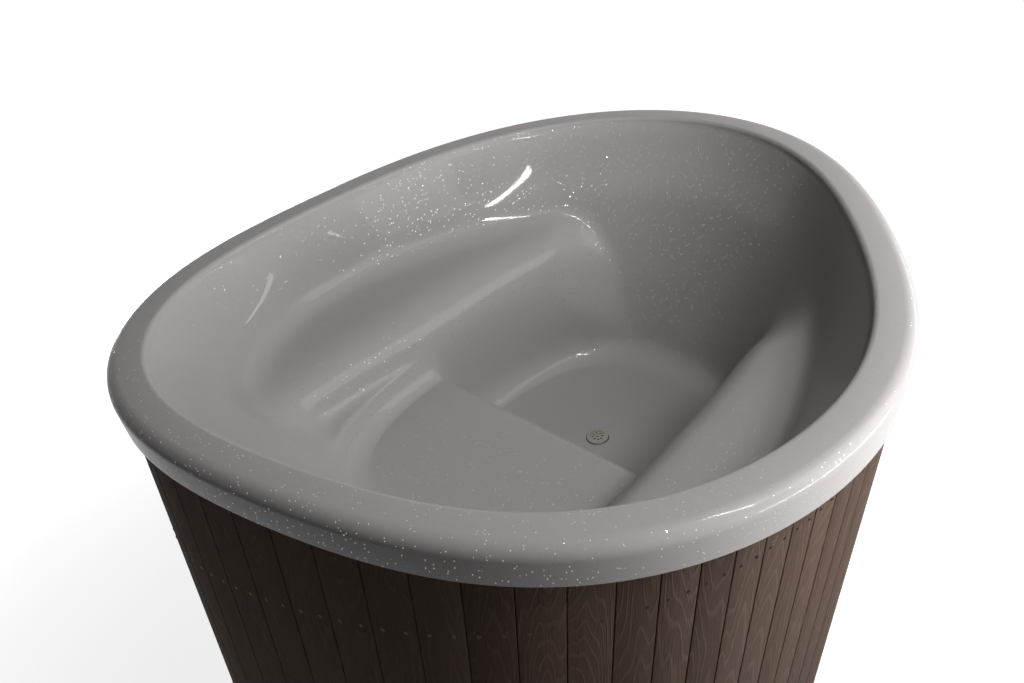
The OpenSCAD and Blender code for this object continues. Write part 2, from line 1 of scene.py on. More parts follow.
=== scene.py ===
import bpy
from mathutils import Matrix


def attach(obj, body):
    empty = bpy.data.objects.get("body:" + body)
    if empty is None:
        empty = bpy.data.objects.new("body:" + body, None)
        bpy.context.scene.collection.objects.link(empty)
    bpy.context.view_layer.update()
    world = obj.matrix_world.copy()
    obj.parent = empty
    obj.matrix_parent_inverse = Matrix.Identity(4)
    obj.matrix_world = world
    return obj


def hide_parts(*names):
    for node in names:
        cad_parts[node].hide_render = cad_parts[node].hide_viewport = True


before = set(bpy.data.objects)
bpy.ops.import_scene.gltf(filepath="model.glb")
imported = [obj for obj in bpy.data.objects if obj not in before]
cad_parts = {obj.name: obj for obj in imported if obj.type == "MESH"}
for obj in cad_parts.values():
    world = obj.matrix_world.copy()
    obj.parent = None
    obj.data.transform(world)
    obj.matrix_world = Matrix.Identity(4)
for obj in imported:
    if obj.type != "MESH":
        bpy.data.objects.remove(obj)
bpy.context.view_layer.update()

import math

import bmesh
import bpy
import numpy as np
from mathutils import Matrix, Vector

# Sizes are in millimetres, as in the CAD source, and MM brings them to metres. Angles are in
# degrees. X runs from the seat's end to the foot end, and the well's own middle is the pole.
MM = 0.001

# Rim and skirt: their outline is a circle with an egg, an oval, three lobes and two smaller waves
# laid over it
TOTAL_H = 950.0
RIM_RADIUS, RIM_EGG, RIM_OVAL, RIM_LOBE, RIM_TURN = 800.0, 44.0, 50.0, 52.0, 14.0
RIM_SQUARE, RIM_SQUARE_TURN, RIM_FLAT, RIM_SIDE = 4.0, 56.0, 7.0, 36.0
RIM_W, RIM_EDGE_RUN, RIM_EDGE_FALL, RIM_INNER_R = 80.0, 28.0, 24.0, 12.0
SKIRT_H, SKIRT_DRAFT, SHELL_T = 74.0, 3.0, 8.0
SKIRT_Z = TOTAL_H - SKIRT_H

# Upper wall of the well, and the armrests between the wall and a long oval. Where there is no
# armrest, its section is spread over WALL_SHARE of the wall.
WELL_RADIUS, WELL_EGG, WELL_OVAL, WELL_LOBE = 642.0, 17.0, 40.0, 33.0
WELL_TURN, WELL_SIDE, WELL_DROP = 2.0, 24.0, 160.0
LIP_HALF, LIP_REACH, LIP_X, LEDGE_DROP, LEDGE_FALL = 434.0, 1000.0, -100.0, 222.0, 8.0
COVE_R, LIP_RUN, LIP_FALL, LEDGE_BLEND = 60.0, 98.0, 92.0, 90.0
COVE_H = LEDGE_DROP - LEDGE_FALL - WELL_DROP
WALL_SHARE = 0.6

# Seat, step and footwell
SEAT_DROP, FLOOR_DROP, STEP_X, STEP_RUN = 374.0, 584.0, -24.0, 78.0
FOOT_REACH, SEAT_REACH, FLOOR_HALF, BED_SQUARE = 585.0, 480.0, 330.0, 2.8
HOLLOW_END, HOLLOW_SIDE, HOLLOW_RISE = 84.0, 36.0, 56.0
SEAT_Z = TOTAL_H - SEAT_DROP
FLOOR_Z = TOTAL_H - FLOOR_DROP

# Boards, and the waste pipe that comes out through them
BOARD_COUNT, PANEL_COUNT, BOARD_T, BOARD_GAP = 72, 18, 18.0, 1.6
BOARD_EASE, BOARD_CORNER, BOARD_INSET, BOARD_LEAN = 0.27, 0.036, 16.0, 2.7
BASE_SHIFT, BOARD_Z, BOARD_TUCK = 90.0, 28.0, 44.0
BOARD_TOP = SKIRT_Z + BOARD_TUCK
PIPE_Z = 112.0


def sin(a):
    return math.sin(math.radians(a))


def cos(a):
    return math.cos(math.radians(a))


def mix(a, b, share):
    return a + (b - a) * share


def unit(v):
    return v / np.linalg.norm(v)


# Outline of the rim, and the face of the cladding below it
def rim_r(a):
    return (RIM_RADIUS + RIM_EGG * cos(a) + RIM_OVAL * cos(2 * a)
            + RIM_LOBE * cos(3 * (a - RIM_TURN))
            + RIM_SQUARE * cos(4 * (a - RIM_SQUARE_TURN)) + RIM_FLAT * cos(5 * a))


def rim_change(a):
    return (-RIM_EGG * sin(a) - 2 * RIM_OVAL * sin(2 * a) - 3 * RIM_LOBE * sin(3 * (a - RIM_TURN))
            - 4 * RIM_SQUARE * sin(4 * (a - RIM_SQUARE_TURN)) - 5 * RIM_FLAT * sin(5 * a))


def rim_point(a, inset):
    """A point in plan at angle a, set in square to the rim's outline."""
    r, change = rim_r(a), rim_change(a)
    along = unit(np.array([change * cos(a) - r * sin(a), change * sin(a) + r * cos(a)]))
    return np.array([r * cos(a), RIM_SIDE + r * sin(a)]) - inset * np.array([along[1], -along[0]])


def wall_point(a, depth, z):
    """A point in plan at height z, at a depth behind the leaning face of the boards."""
    fall = SKIRT_Z - z
    inset = BOARD_INSET + depth + fall * math.tan(math.radians(BOARD_LEAN))
    return rim_point(a, inset) - np.array([BASE_SHIFT * fall / SKIRT_Z, 0])


outline = np.array([p for a in range(360) for p in (rim_point(a, 0), wall_point(a, 0, BOARD_Z))])
MIDDLE = (outline.max(axis=0) + outline.min(axis=0)) / 2


def placed(point):
    """A point in millimetres from the pole, in metres from the middle of the ground it covers."""
    return ((point[0] - MIDDLE[0]) * MM, (point[1] - MIDDLE[1]) * MM, point[2] * MM)


# The photograph's camera, solved from the rim, the seams and the seat's edge, in a frame that is
# turned to face it. The focus is in pixels, the reach and shift are in rim radii and the angles
# in radians.
PICTURE_W = 1024
CAMERA_FOCUS, CAMERA_PITCH, CAMERA_REACH, CAMERA_ROLL = 849.2, 0.6, 1.9223, -0.1277
TUB_TURN, TUB_SHIFT = 0.7705, (0.0434, 0.3457)
SENSOR_W = 36.0


def make_camera():
    turn = Matrix.Rotation(-TUB_TURN, 3, "Z")
    ahead = Vector((0, math.cos(CAMERA_PITCH), -math.sin(CAMERA_PITCH)))
    right = Vector((1, 0, 0))
    up = right.cross(ahead)
    roll = Matrix.Rotation(CAMERA_ROLL, 3, -ahead)
    place = turn @ (-CAMERA_REACH * ahead - Vector((*TUB_SHIFT, 0)))
    place = place * RIM_RADIUS + Vector((-MIDDLE[0], RIM_SIDE - MIDDLE[1], TOTAL_H))
    axes = Matrix((turn @ roll @ right, turn @ roll @ up, turn @ -ahead)).transposed()
    data = bpy.data.cameras.new("camera")
    data.sensor_width = SENSOR_W
    data.lens = CAMERA_FOCUS / PICTURE_W * SENSOR_W
    camera = bpy.data.objects.new("camera", data)
    camera.matrix_world = Matrix.Translation(place * MM) @ axes.to_4x4()
    bpy.context.collection.objects.link(camera)
    bpy.context.scene.camera = camera


make_camera()


# Materials
def colour(code):
    """An sRGB hex value as linear red, green, blue and alpha."""
    parts = [int(code[i:i + 2], 16) / 255 for i in (0, 2, 4)]
    return [c / 12.92 if c <= 0.04045 else ((c + 0.055) / 1.055) ** 2.4 for c in parts] + [1.0]


def feed(tree, node, inputs):
    """Gives a node's inputs their values, or links them to other nodes' outputs."""
    for name, value in inputs.items():
        if isinstance(value, bpy.types.NodeSocket):
            tree.links.new(value, node.inputs[name])
        else:
            node.inputs[name].default_value = value


def add(tree, kind, inputs=None, **settings):
    """Adds a node with its settings and its inputs."""
    node = tree.nodes.new("ShaderNode" + kind)
    for name, value in settings.items():
        setattr(node, name, value)
    feed(tree, node, inputs or {})
    return node


def new_material(name):
    """An empty material, its tree and its shader."""
    made = bpy.data.materials.new(name)
    made.use_nodes = True
    return made, made.node_tree, made.node_tree.nodes["Principled BSDF"]


# Polished gelcoat with metal flake, moulded against a waxed mould: a clear gloss over a warm grey,
# in which single flakes lie nearly flat and flash where they tilt towards a lamp. A real flake is
# 0.2 to 0.4 mm across, too fine to show, so it is drawn 1.7 mm across: FLAKE_REACH is its
# radius as a share of the pitch, and FLAKE_SHARE the share of the places that hold one. The
# gloss is kept low, because all that it reflects here is white.
FLAKE_PITCH = 2.4
FLAKE_REACH = 0.35
FLAKE_SHARE = 0.028
FLAKE_TILT = 0.3
MOTTLE_PITCH = 1.1


def make_gelcoat():
    made, tree, shader = new_material("gelcoat_flaked_polished")
    place = add(tree, "TexCoord").outputs["Object"]
    flakes = add(tree, "TexVoronoi", {"Vector": place, "Scale": 1 / (FLAKE_PITCH * MM)})
    chance = add(tree, "SeparateColor", {"Color": flakes.outputs["Color"]})
    chosen = add(tree, "Math", {0: chance.outputs["Red"], 1: 1 - FLAKE_SHARE},
                 operation="GREATER_THAN")
    inside = add(tree, "Math", {0: flakes.outputs["Distance"], 1: FLAKE_REACH},
                 operation="LESS_THAN")
    flake = add(tree, "Math", {0: chosen.outputs[0], 1: inside.outputs[0]}, operation="MULTIPLY")
    mottle = add(tree, "TexNoise", {"Vector": place, "Scale": 1 / (MOTTLE_PITCH * MM),
                                    "Detail": 2.0})
    base = add(tree, "Mix", {0: mottle.outputs["Fac"], 6: colour("979392"), 7: colour("ada9a8")},
               data_type="RGBA")
    skin = add(tree, "Mix", {0: flake.outputs[0], 6: base.outputs[2], 7: colour("ccc8c4")},
               data_type="RGBA")
    gloss = add(tree, "MapRange", {"Value": flake.outputs[0], "To Min": 0.3, "To Max": 0.2})
    flat = add(tree, "NewGeometry").outputs["Normal"]
    lean = add(tree, "VectorMath", {0: flakes.outputs["Color"], 1: (0.5, 0.5, 0.5)},
               operation="SUBTRACT")
    tilt = add(tree, "VectorMath", {0: lean.outputs[0], "Scale": FLAKE_TILT}, operation="SCALE")
    shown = add(tree, "VectorMath", {0: tilt.outputs[0], "Scale": flake.outputs[0]},
                operation="SCALE")
    leaning = add(tree, "VectorMath", {0: flat, 1: shown.outputs[0]}, operation="ADD")
    normal = add(tree, "VectorMath", {0: leaning.outputs[0]}, operation="NORMALIZE")
    feed(tree, shader, {"Base Color": skin.outputs[2], "Metallic": flake.outputs[0],
                        "Normal": normal.outputs[0], "Roughness": gloss.outputs["Result"],
                        "IOR": 1.5, "Specular IOR Level": 0.06,
                        "Coat Weight": 0.15, "Coat Roughness": 0.03, "Coat IOR": 1.5})
    return made


# Cedar boards, rough sawn, wire brushed and stained dark: the soft early wood is brushed out,
# so the hard late wood stands up in ridges that arch along the board. Ridges are 2 to 4 mm
# apart, and the fine streaks of the brush 0.8 mm. The rings lie round a pith that leans by
# TRUNK_LEAN and wanders between WANDER_IN and WANDER_OUT, and the stain takes in broad clouds.
RING_PITCH = 3.2
STREAK_PITCH = 0.8
CLOUD_PITCH = 60.0
WANDER_PITCH, WANDER_IN, WANDER_OUT = 62.5, 8.0, 12.0
TRUNK_LEAN = 0.035
GRAIN_STRETCH, STREAK_STRETCH = 10, 50
LATE_H = 0.4
BRUSHED_DEPTH = 1.1


def make_boards():
    made, tree, shader = new_material("cedar_brushed_stained")
    place = add(tree, "Attribute", attribute_name="grain_place").outputs["Vector"]
    tone = add(tree, "Attribute", attribute_name="board_tone").outputs["Fac"]
    long = add(tree, "VectorMath", {0: place, 1: (1.0, 1.0, 1 / GRAIN_STRETCH)},
               operation="MULTIPLY")
    wander = add(tree, "TexNoise", {"Vector": long.outputs[0], "Scale": 1 / (WANDER_PITCH * MM),
                                    "Detail": 2.0, "Roughness": 0.4})
    parts = add(tree, "SeparateXYZ", {"Vector": place})
    drift = add(tree, "MapRange", {"Value": wander.outputs["Fac"], "From Min": 0.3, "From Max": 0.7,
                                   "To Min": -WANDER_IN * MM, "To Max": WANDER_OUT * MM})
    sliced = add(tree, "Math", {0: parts.outputs["Z"], 1: TRUNK_LEAN, 2: drift.outputs["Result"]},
                 operation="MULTIPLY_ADD")
    cut = add(tree, "CombineXYZ", {"X": parts.outputs["X"], "Y": sliced.outputs[0], "Z": 0.0})
    reach = add(tree, "VectorMath", {0: cut.outputs[0]}, operation="LENGTH")
    rings = add(tree, "Math", {0: reach.outputs["Value"], 1: 1 / (RING_PITCH * MM)},
                operation="MULTIPLY")
    phase = add(tree, "Math", {0: rings.outputs[0]}, operation="FRACT")
    ridge = add(tree, "MapRange", {"Value": phase.outputs[0], "From Min": 0.6, "From Max": 0.88},
                interpolation_type="SMOOTHSTEP")
    edge = add(tree, "MapRange", {"Value": phase.outputs[0], "From Min": 0.9, "From Max": 1.0,
                                  "To Min": 1.0, "To Max": 0.0}, interpolation_type="SMOOTHSTEP")
    late = add(tree, "Math", {0: ridge.outputs["Result"], 1: edge.outputs["Result"]},
               operation="MULTIPLY")
    brushed = add(tree, "VectorMath", {0: place, 1: (1.0, 1.0, 1 / STREAK_STRETCH)},
                  operation="MULTIPLY")
    streaks = add(tree, "TexNoise", {"Vector": brushed.outputs[0], "Scale": 1 / (STREAK_PITCH * MM),
                                     "Detail": 3.0, "Roughness": 0.6})
    relief = add(tree, "Math", {0: late.outputs[0], 1: LATE_H, 2: streaks.outputs["Fac"]},
                 operation="MULTIPLY_ADD")
    clouds = add(tree, "TexNoise", {"Vector": long.outputs[0], "Scale": 1 / (CLOUD_PITCH * MM),
                                    "Detail": 2.0})
    patchy = add(tree, "Math", {0: clouds.outputs["Fac"], 1: tone}, operation="ADD")
    stain = add(tree, "MapRange", {"Value": patchy.outputs[0], "From Min": 0.3, "From Max": 1.7})
    dark = add(tree, "Mix", {0: stain.outputs["Result"], 6: colour("3f322b"), 7: colour("52443b")},
               data_type="RGBA")
    light = add(tree, "Mix", {0: stain.outputs["Result"], 6: colour("594a41"), 7: colour("726258")},
                data_type="RGBA")
    worn = add(tree, "MapRange", {"Value": relief.outputs[0], "From Min": 0.2, "From Max": 1.5})
    skin = add(tree, "Mix", {0: worn.outputs["Result"], 6: dark.outputs[2], 7: light.outputs[2]},
               data_type="RGBA")
    bump = add(tree, "Bump", {"Strength": 1.0, "Distance": BRUSHED_DEPTH * MM,
                              "Height": relief.outputs[0]})
    feed(tree, shader, {"Base Color": skin.outputs[2], "Roughness": 0.75, "Normal": bump.outputs[0],
                        "Specular IOR Level": 0.04, "IOR": 1.5})
    return made


# Planed spruce of the frame: the late wood makes fine darker lines 2.5 mm apart, and SPRUCE_ALONG
# draws them out along the piece
SPRUCE_PITCH = 2.5
SPRUCE_ALONG = 0.03


def make_spruce(name, run):
    """Spruce whose grain runs up, across the tub or round it."""
    made, tree, shader = new_material(name)
    place = add(tree, "TexCoord").outputs["Object"]
    parts = add(tree, "SeparateXYZ", {"Vector": place})
    x, y, z = (parts.outputs[axis] for axis in "XYZ")
    ground = add(tree, "CombineXYZ", {"X": x, "Y": y}).outputs[0]
    reach = add(tree, "VectorMath", {0: ground}, operation="LENGTH").outputs["Value"]
    turn = add(tree, "Math", {0: y, 1: x}, operation="ARCTAN2").outputs[0]
    first, second, along = {"up": (x, y, z), "across": (x, z, y), "round": (reach, z, turn)}[run]
    slow = add(tree, "Math", {0: along, 1: SPRUCE_ALONG}, operation="MULTIPLY").outputs[0]
    fibre = add(tree, "CombineXYZ", {"X": first, "Y": second, "Z": slow}).outputs[0]
    lines = add(tree, "TexNoise", {"Vector": fibre, "Scale": 1 / (SPRUCE_PITCH * MM),
                                   "Detail": 3.0})
    late = add(tree, "MapRange", {"Value": lines.outputs["Fac"], "From Min": 0.4, "From Max": 0.7})
    skin = add(tree, "Mix", {0: late.outputs["Result"], 6: colour("d2b384"), 7: colour("b08a58")},
               data_type="RGBA")
    bump = add(tree, "Bump", {"Strength": 0.3, "Distance": 0.2 * MM,
                              "Height": lines.outputs["Fac"]})
    feed(tree, shader, {"Base Color": skin.outputs[2], "Roughness": 0.65, "Normal": bump.outputs[0],
                        "IOR": 1.5})
    return made


# Birch plywood, sealed: plies 1.4 mm thick show as lines along its cut edges, over a broad and
# pale figure that is drawn out along the sheet
PLY_PITCH = 1.4
PLY_SHADE = 0.18
FIGURE_PITCH, FIGURE_STRETCH = 30.0, 5


def make_plywood(name, through):
    """Plywood whose plies are stacked along an axis of the object."""
    made, tree, shader = new_material(name)
    place = add(tree, "TexCoord").outputs["Object"]
    parts = add(tree, "SeparateXYZ", {"Vector": place})
    plies = add(tree, "Math", {0: parts.outputs[through], 1: math.pi / (PLY_PITCH * MM)},
                operation="MULTIPLY")
    layer = add(tree, "Math", {0: plies.outputs[0]}, operation="SINE")
    long = add(tree, "VectorMath", {0: place, 1: (1.0, 1 / FIGURE_STRETCH, 1.0)},
               operation="MULTIPLY")
    figure = add(tree, "TexNoise", {"Vector": long.outputs[0], "Scale": 1 / (FIGURE_PITCH * MM),
                                    "Detail": 5.0, "Distortion": 0.6})
    shade = add(tree, "Math", {0: layer.outputs[0], 1: PLY_SHADE, 2: figure.outputs["Fac"]},
                operation="MULTIPLY_ADD")
    mixed = add(tree, "MapRange", {"Value": shade.outputs[0], "From Min": 0.2, "From Max": 0.9})
    skin = add(tree, "Mix", {0: mixed.outputs["Result"], 6: colour("a98556"), 7: colour("cfb184")},
               data_type="RGBA")
    bump = add(tree, "Bump", {"Strength": 0.2, "Distance": 0.2 * MM, "Height": shade.outputs[0]})
    feed(tree, shader, {"Base Color": skin.outputs[2], "Roughness": 0.55, "Normal": bump.outputs[0],
                        "IOR": 1.5})
    return made


# Pads of pressed rubber granulate: black grains 2.5 mm across, a few of them grey
GRAIN_D = 2.5


def make_granulate():
    made, tree, shader = new_material("rubber_granulate_pressed")
    place = add(tree, "TexCoord").outputs["Object"]
    grains = add(tree, "TexVoronoi", {"Vector": place, "Scale": 1 / (GRAIN_D * MM)})
    chance = add(tree, "SeparateColor", {"Color": grains.outputs["Color"]})
    grey = add(tree, "MapRange", {"Value": chance.outputs["Red"], "From Min": 0.85,
                                  "From Max": 0.95})
    skin = add(tree, "Mix", {0: grey.outputs["Result"], 6: colour("1c1c1c"), 7: colour("4a4a4c")},
               data_type="RGBA")
    bump = add(tree, "Bump", {"Strength": 0.6, "Distance": 0.4 * MM,
                              "Height": grains.outputs["Distance"]}, invert=True)
    feed(tree, shader, {"Base Color": skin.outputs[2], "Roughness": 0.85, "Normal": bump.outputs[0],
                        "IOR": 1.52})
    return made


# Moulded EPDM rubber and dipped vinyl, matt and nearly black, and extruded PVC pipe, smoother and
# off-white: all have an even tone with a fine pebble. The pebble is really 0.2 mm across, too
# fine to show, and drawn 0.6 mm across.
PEBBLE_PITCH = 0.6


def make_rubber_or_plastic(name, dark, light, rough):
    made, tree, shader = new_material(name)
    place = add(tree, "TexCoord").outputs["Object"]
    pebble = add(tree, "TexNoise", {"Vector": place, "Scale": 1 / (PEBBLE_PITCH * MM),
                                    "Detail": 2.0})
    skin = add(tree, "Mix", {0: pebble.outputs["Fac"], 6: colour(dark), 7: colour(light)},
               data_type="RGBA")
    bump = add(tree, "Bump", {"Strength": 0.4, "Distance": 0.08 * MM,
                              "Height": pebble.outputs["Fac"]})
    feed(tree, shader, {"Base Color": skin.outputs[2], "Roughness": rough, "IOR": 1.52,
                        "Normal": bump.outputs[0]})
    return made


# Metals: turned brass, satin stainless steel, the drain's duller steel, its tone darkened as
# painted shade for the dim well that it reflects, and the bronzed steel of the screws, whose dark
# tone is partly the coating and partly painted shade of sunk holes. The tool or the brush leaves
# fine marks that spread the gloss, and wear clouds the tone. The marks are really 0.1 mm apart, too
# fine to show, and drawn 0.5 mm apart.
MARK_PITCH, MARK_STRETCH = 0.5, 10
WEAR_PITCH = 25.0


def make_metal(name, dark, light, low, high):
    """Metal between two tones, with its roughness between low and high."""
    made, tree, shader = new_material(name)
    place = add(tree, "TexCoord").outputs["Object"]
    long = add(tree, "VectorMath", {0: place, 1: (1.0, 1 / MARK_STRETCH, 1.0)},
               operation="MULTIPLY")
    marks = add(tree, "TexNoise", {"Vector": long.outputs[0], "Scale": 1 / (MARK_PITCH * MM),
                                   "Detail": 3.0})
    wear = add(tree, "TexNoise", {"Vector": place, "Scale": 1 / (WEAR_PITCH * MM),
                                  "Detail": 3.0})
    skin = add(tree, "Mix", {0: wear.outputs["Fac"], 6: colour(dark), 7: colour(light)},
               data_type="RGBA")
    rough = add(tree, "MapRange", {"Value": marks.outputs["Fac"], "From Min": 0.3, "From Max": 0.7,
                                   "To Min": low, "To Max": high})
    bump = add(tree, "Bump", {"Strength": 0.25, "Distance": 0.05 * MM,
                              "Height": marks.outputs["Fac"]})
    feed(tree, shader, {"Base Color": skin.outputs[2], "Metallic": 1.0, "Normal": bump.outputs[0],
                        "Roughness": rough.outputs["Result"]})
    return made


gelcoat = make_gelcoat()
boards = make_boards()
brass = make_metal("brass_turned", "a07c3c", "be9a58", 0.22, 0.38)
steel = make_metal("stainless_steel_satin", "a2a2a0", "bcbcba", 0.28, 0.42)
vinyl = make_rubber_or_plastic("vinyl_dipped", "26282a", "323436", 0.5)
# Screw heads: a bronzed coating, darkened further as painted shade of the sunk holes round them
bronzed_and_painted_shade = make_metal("screw_steel_bronzed_painted_shade", "2c241f", "3e332b", 0.4, 0.55)

# Finishes of the solids that are shown as the CAD has them
FINISHES = [
    (make_spruce("spruce_planed_upright", "up"), ["post_"]),
    (make_spruce("spruce_planed_joist", "across"), ["joist_"]),
    (make_spruce("spruce_planed_rail", "round"), ["rim_rail", "upper_rail", "lower_rail"]),
    (make_plywood("birch_plywood_base", "Z"), ["base_panel"]),
    (make_plywood("birch_plywood_bulkhead", "X"), ["bulkhead_"]),
    (make_granulate(), ["pad_"]),
    (make_rubber_or_plastic("epdm_rubber_moulded", "161616", "1e1e1e", 0.7), ["drain_gasket"]),
    # The drain's steel is darker than bare steel: painted shade for the dim well that it reflects
    (make_metal("stainless_steel_drain", "85827e", "98958f", 0.4, 0.55),
     ["drain_flange", "strainer"]),
    (make_rubber_or_plastic("pvc_pipe_extruded", "d2d2ce", "dcdcd8", 0.4),
     ["lock_nut", "drop_pipe", "elbow", "waste_pipe"]),
    (brass, ["valve_body", "gland_nut"]),
    (steel, ["ball_stem", "lever"]),
]
for finish, starts in FINISHES:
    for name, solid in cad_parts.items():
        if name.startswith(tuple(starts)):
            solid.data.materials.clear()
            solid.data.materials.append(finish)


# Pieces
WELD = 0.001


def new_piece(name, points, faces, finish, rides="tub", crease=35):
    """A piece from points in millimetres from the pole, with sharp edges above the crease angle."""
    mesh = bpy.data.meshes.new(name)
    mesh.from_pydata([placed(p) for p in points], [], faces)
    work = bmesh.new()
    work.from_mesh(mesh)
    bmesh.ops.remove_doubles(work, verts=work.verts, dist=WELD * MM)
    bmesh.ops.recalc_face_normals(work, faces=work.faces)
    work.to_mesh(mesh)
    work.free()
    mesh.materials.append(finish)
    mesh.shade_smooth()
    mesh.set_sharp_from_angle(angle=math.radians(crease))
    piece = bpy.data.objects.new(name, mesh)
    bpy.context.collection.objects.link(piece)
    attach(piece, rides)
    return piece


def band(low, high, n):
    """Faces between two rings of n points, from the number of each ring's first point."""
    return [(low + q, low + (q + 1) % n, high + (q + 1) % n, high + q) for q in range(n)]


def tube(start, count, n):
    """Faces round a stack of rings of n points each, open at both ends."""
    return [face for low in range(start, start + (count - 1) * n, n)
            for face in band(low, low + n, n)]


def bar(start, count, n):
    """Faces round a stack of rings of n points each, and over both its ends."""
    last = start + (count - 1) * n
    return tube(start, count, n) + [tuple(range(start, start + n)), tuple(range(last, last + n))]


# Liner: the moulded shell's own surfaces, with more stations and rounder arcs than the solid.
# The step between seat and footwell is the mean of five, each moved by some millimetres and with
# its own share, and the section under the rim is smoothed, as the sheet rounds off over a mould.
CELLS = 72
STATIONS = 4 * CELLS
STEP_CROWDING = 1.5
RIM_STEPS = np.linspace(0, 90, 10)
ARC_STEPS = np.linspace(10, 90, 9)
QUARTERS = (0.25, 0.5, 0.75, 1)
STEP_SOFTENING = [(-18, 1 / 9), (-9, 2 / 9), (0, 3 / 9), (9, 2 / 9), (18, 1 / 9)]
SOFT_COUNT, SOFT_ROUNDS = 64, 10

# An armrest's section is counted in eighths: three for the hollow's arc, of 30 degrees each, one
# to the ledge's middle, one to its edge and three for the lip's arc
LEDGE_SPAN, LEDGE_MIDDLE, LEDGE_EDGE, ARC_SHARE = 8, 4, 5, 30


def well_r(a):
    return (WELL_RADIUS + WELL_EGG * cos(a) + WELL_OVAL * cos(2 * a)
            + WELL_LOBE * cos(3 * (a - WELL_TURN)) + WELL_SIDE * sin(a))


def well_point(a, run, t):
    return (well_r(a) + t - run) * np.array([cos(a), sin(a)])


def lip_r(a):
    """The reach from the pole to the oval that the armrests' edges follow."""
    g = (cos(a) / LIP_REACH) ** 2 + (sin(a) / LIP_HALF) ** 2
    h = cos(a) * LIP_X / LIP_REACH ** 2
    return (h + math.sqrt(h * h + g * (1 - (LIP_X / LIP_REACH) ** 2))) / g


def ease(s):
    s = min(max(s, 0.0), 1.0)
    return s * s * (3 - 2 * s)


def bed_z(x, t):
    """The bed's height, from the seat down the step to the footwell's floor."""
    past = x + t - STEP_X + STEP_RUN / 3
    down = sum(w * ease((past + run) / STEP_RUN) for run, w in STEP_SOFTENING)
    return mix(SEAT_Z, FLOOR_Z, down) - t


def bed_at(w, grow, end, side):
    """A point of the round grid on the bed's squarer outline."""
    m = abs(w[0]) ** BED_SQUARE + abs(w[1]) ** BED_SQUARE
    k = math.hypot(*w) / m ** (1 / BED_SQUARE) if m else 1.0
    reach = (FOOT_REACH if w[0] > 0 else SEAT_REACH) - end + grow
    return np.array([STEP_X + reach * k * w[0], (FLOOR_HALF - side + grow) * k * w[1]])


def bed_inner(w, t):
    p = bed_at(w, t, HOLLOW_END, HOLLOW_SIDE)
    return np.array([*p, bed_z(p[0], t)])


def rim_path(t):
    """The section of skirt and rim, as (inset from the rim's outline, height)."""
    outer = [(RIM_EDGE_RUN - (RIM_EDGE_RUN - t) * cos(b),
              TOTAL_H - RIM_EDGE_FALL + (RIM_EDGE_FALL - t) * sin(b)) for b in RIM_STEPS]
    inner = [(RIM_W - RIM_INNER_R + (RIM_INNER_R - t) * sin(b),
              TOTAL_H - RIM_INNER_R + (RIM_INNER_R - t) * cos(b)) for b in RIM_STEPS]
    return [(SKIRT_DRAFT + t, SKIRT_Z)] + outer + inner


def ledge_path(w, t):
    """An armrest's section at width w, as (eighths, run from the wall, drop below the rim)."""
    cove = COVE_R * w / (COVE_R + w)
    hollow = [(b / ARC_SHARE, cove - (cove + t) * cos(b), WELL_DROP + (COVE_H + t) * sin(b))
              for b in ARC_STEPS]
    lip = [(LEDGE_EDGE + b / ARC_SHARE, w + (LIP_RUN - t) * sin(b),
            LEDGE_DROP + LIP_FALL - (LIP_FALL - t) * cos(b)) for b in (0, *ARC_STEPS)]
    ledge = (LEDGE_MIDDLE, (cove + w) / 2, LEDGE_DROP - LEDGE_FALL / 2 + t)
    return hollow + [ledge] + lip


def soften(path):
    """The path in even steps, with each point moved towards its neighbours round by round."""
    path = np.array(path)
    along = np.cumsum([0.0, *np.linalg.norm(np.diff(path, axis=0), axis=1)])
    even = np.linspace(0, along[-1], SOFT_COUNT)
    path = np.stack([np.interp(even, along, path[:, axis]) for axis in range(3)], axis=1)
    for _ in range(SOFT_ROUNDS):
        path[1:-1] = (path[:-2] + 2 * path[1:-1] + path[2:]) / 4
    return list(path[1:])


def section(a, t):
    """One station of the shell, from the skirt's edge to the edge of the bed."""
    rim = [np.array([*rim_point(a, inset), z]) for inset, z in rim_path(t)]
    brow = np.array([*well_point(a, 0, t), TOTAL_H - WELL_DROP])
    around = (cos(a), sin(a))
    edge = bed_at(around, t, 0, 0)
    foot = np.array([*edge, bed_z(edge[0], t) + t + HOLLOW_RISE])
    width = well_r(a) - lip_r(a)
    part = ease(width / LEDGE_BLEND)
    shelf = []
    for eighths, run, drop in ledge_path(max(width, 0), t):
        plain = mix(brow, foot, WALL_SHARE * eighths / LEDGE_SPAN)
        arm = np.array([*well_point(a, run, 0), TOTAL_H - drop])
        shelf.append(mix(plain, arm, part))
    inner = bed_inner(around, t)
    hollow = []
    for g in ARC_STEPS:
        x, y = mix(edge, inner[:2], 1 - cos(g))
        hollow.append(np.array([x, y, bed_z(x, t) + (HOLLOW_RISE + t) * (1 - sin(g))]))
    wall = [mix(rim[-1], brow, s) for s in QUARTERS]
    below = [mix(shelf[-1], foot, s) for s in QUARTERS]
    return rim + soften([rim[-1]] + wall + shelf + below + hollow)


def on_disc(i, j):
    """A square grid's cell opened out to a round one, with more of it near the step."""
    s = 2 * i / CELLS - 1
    u, v = math.copysign(abs(s) ** STEP_CROWDING, s), 2 * j / CELLS - 1
    x = u * (1 - (1 - math.sqrt(1 - v * v / 2)) * abs(u))
    edge = u * (1 - (1 - math.sqrt(0.5)) * abs(u))
    return x, v * math.sqrt(1 - edge * edge)


def edge_cell(k):
    """The cell of the square grid's edge that meets station k."""
    side, step = divmod(k, CELLS)
    return [(CELLS, step), (CELLS - step, CELLS), (0, CELLS - step), (step, 0)][side]


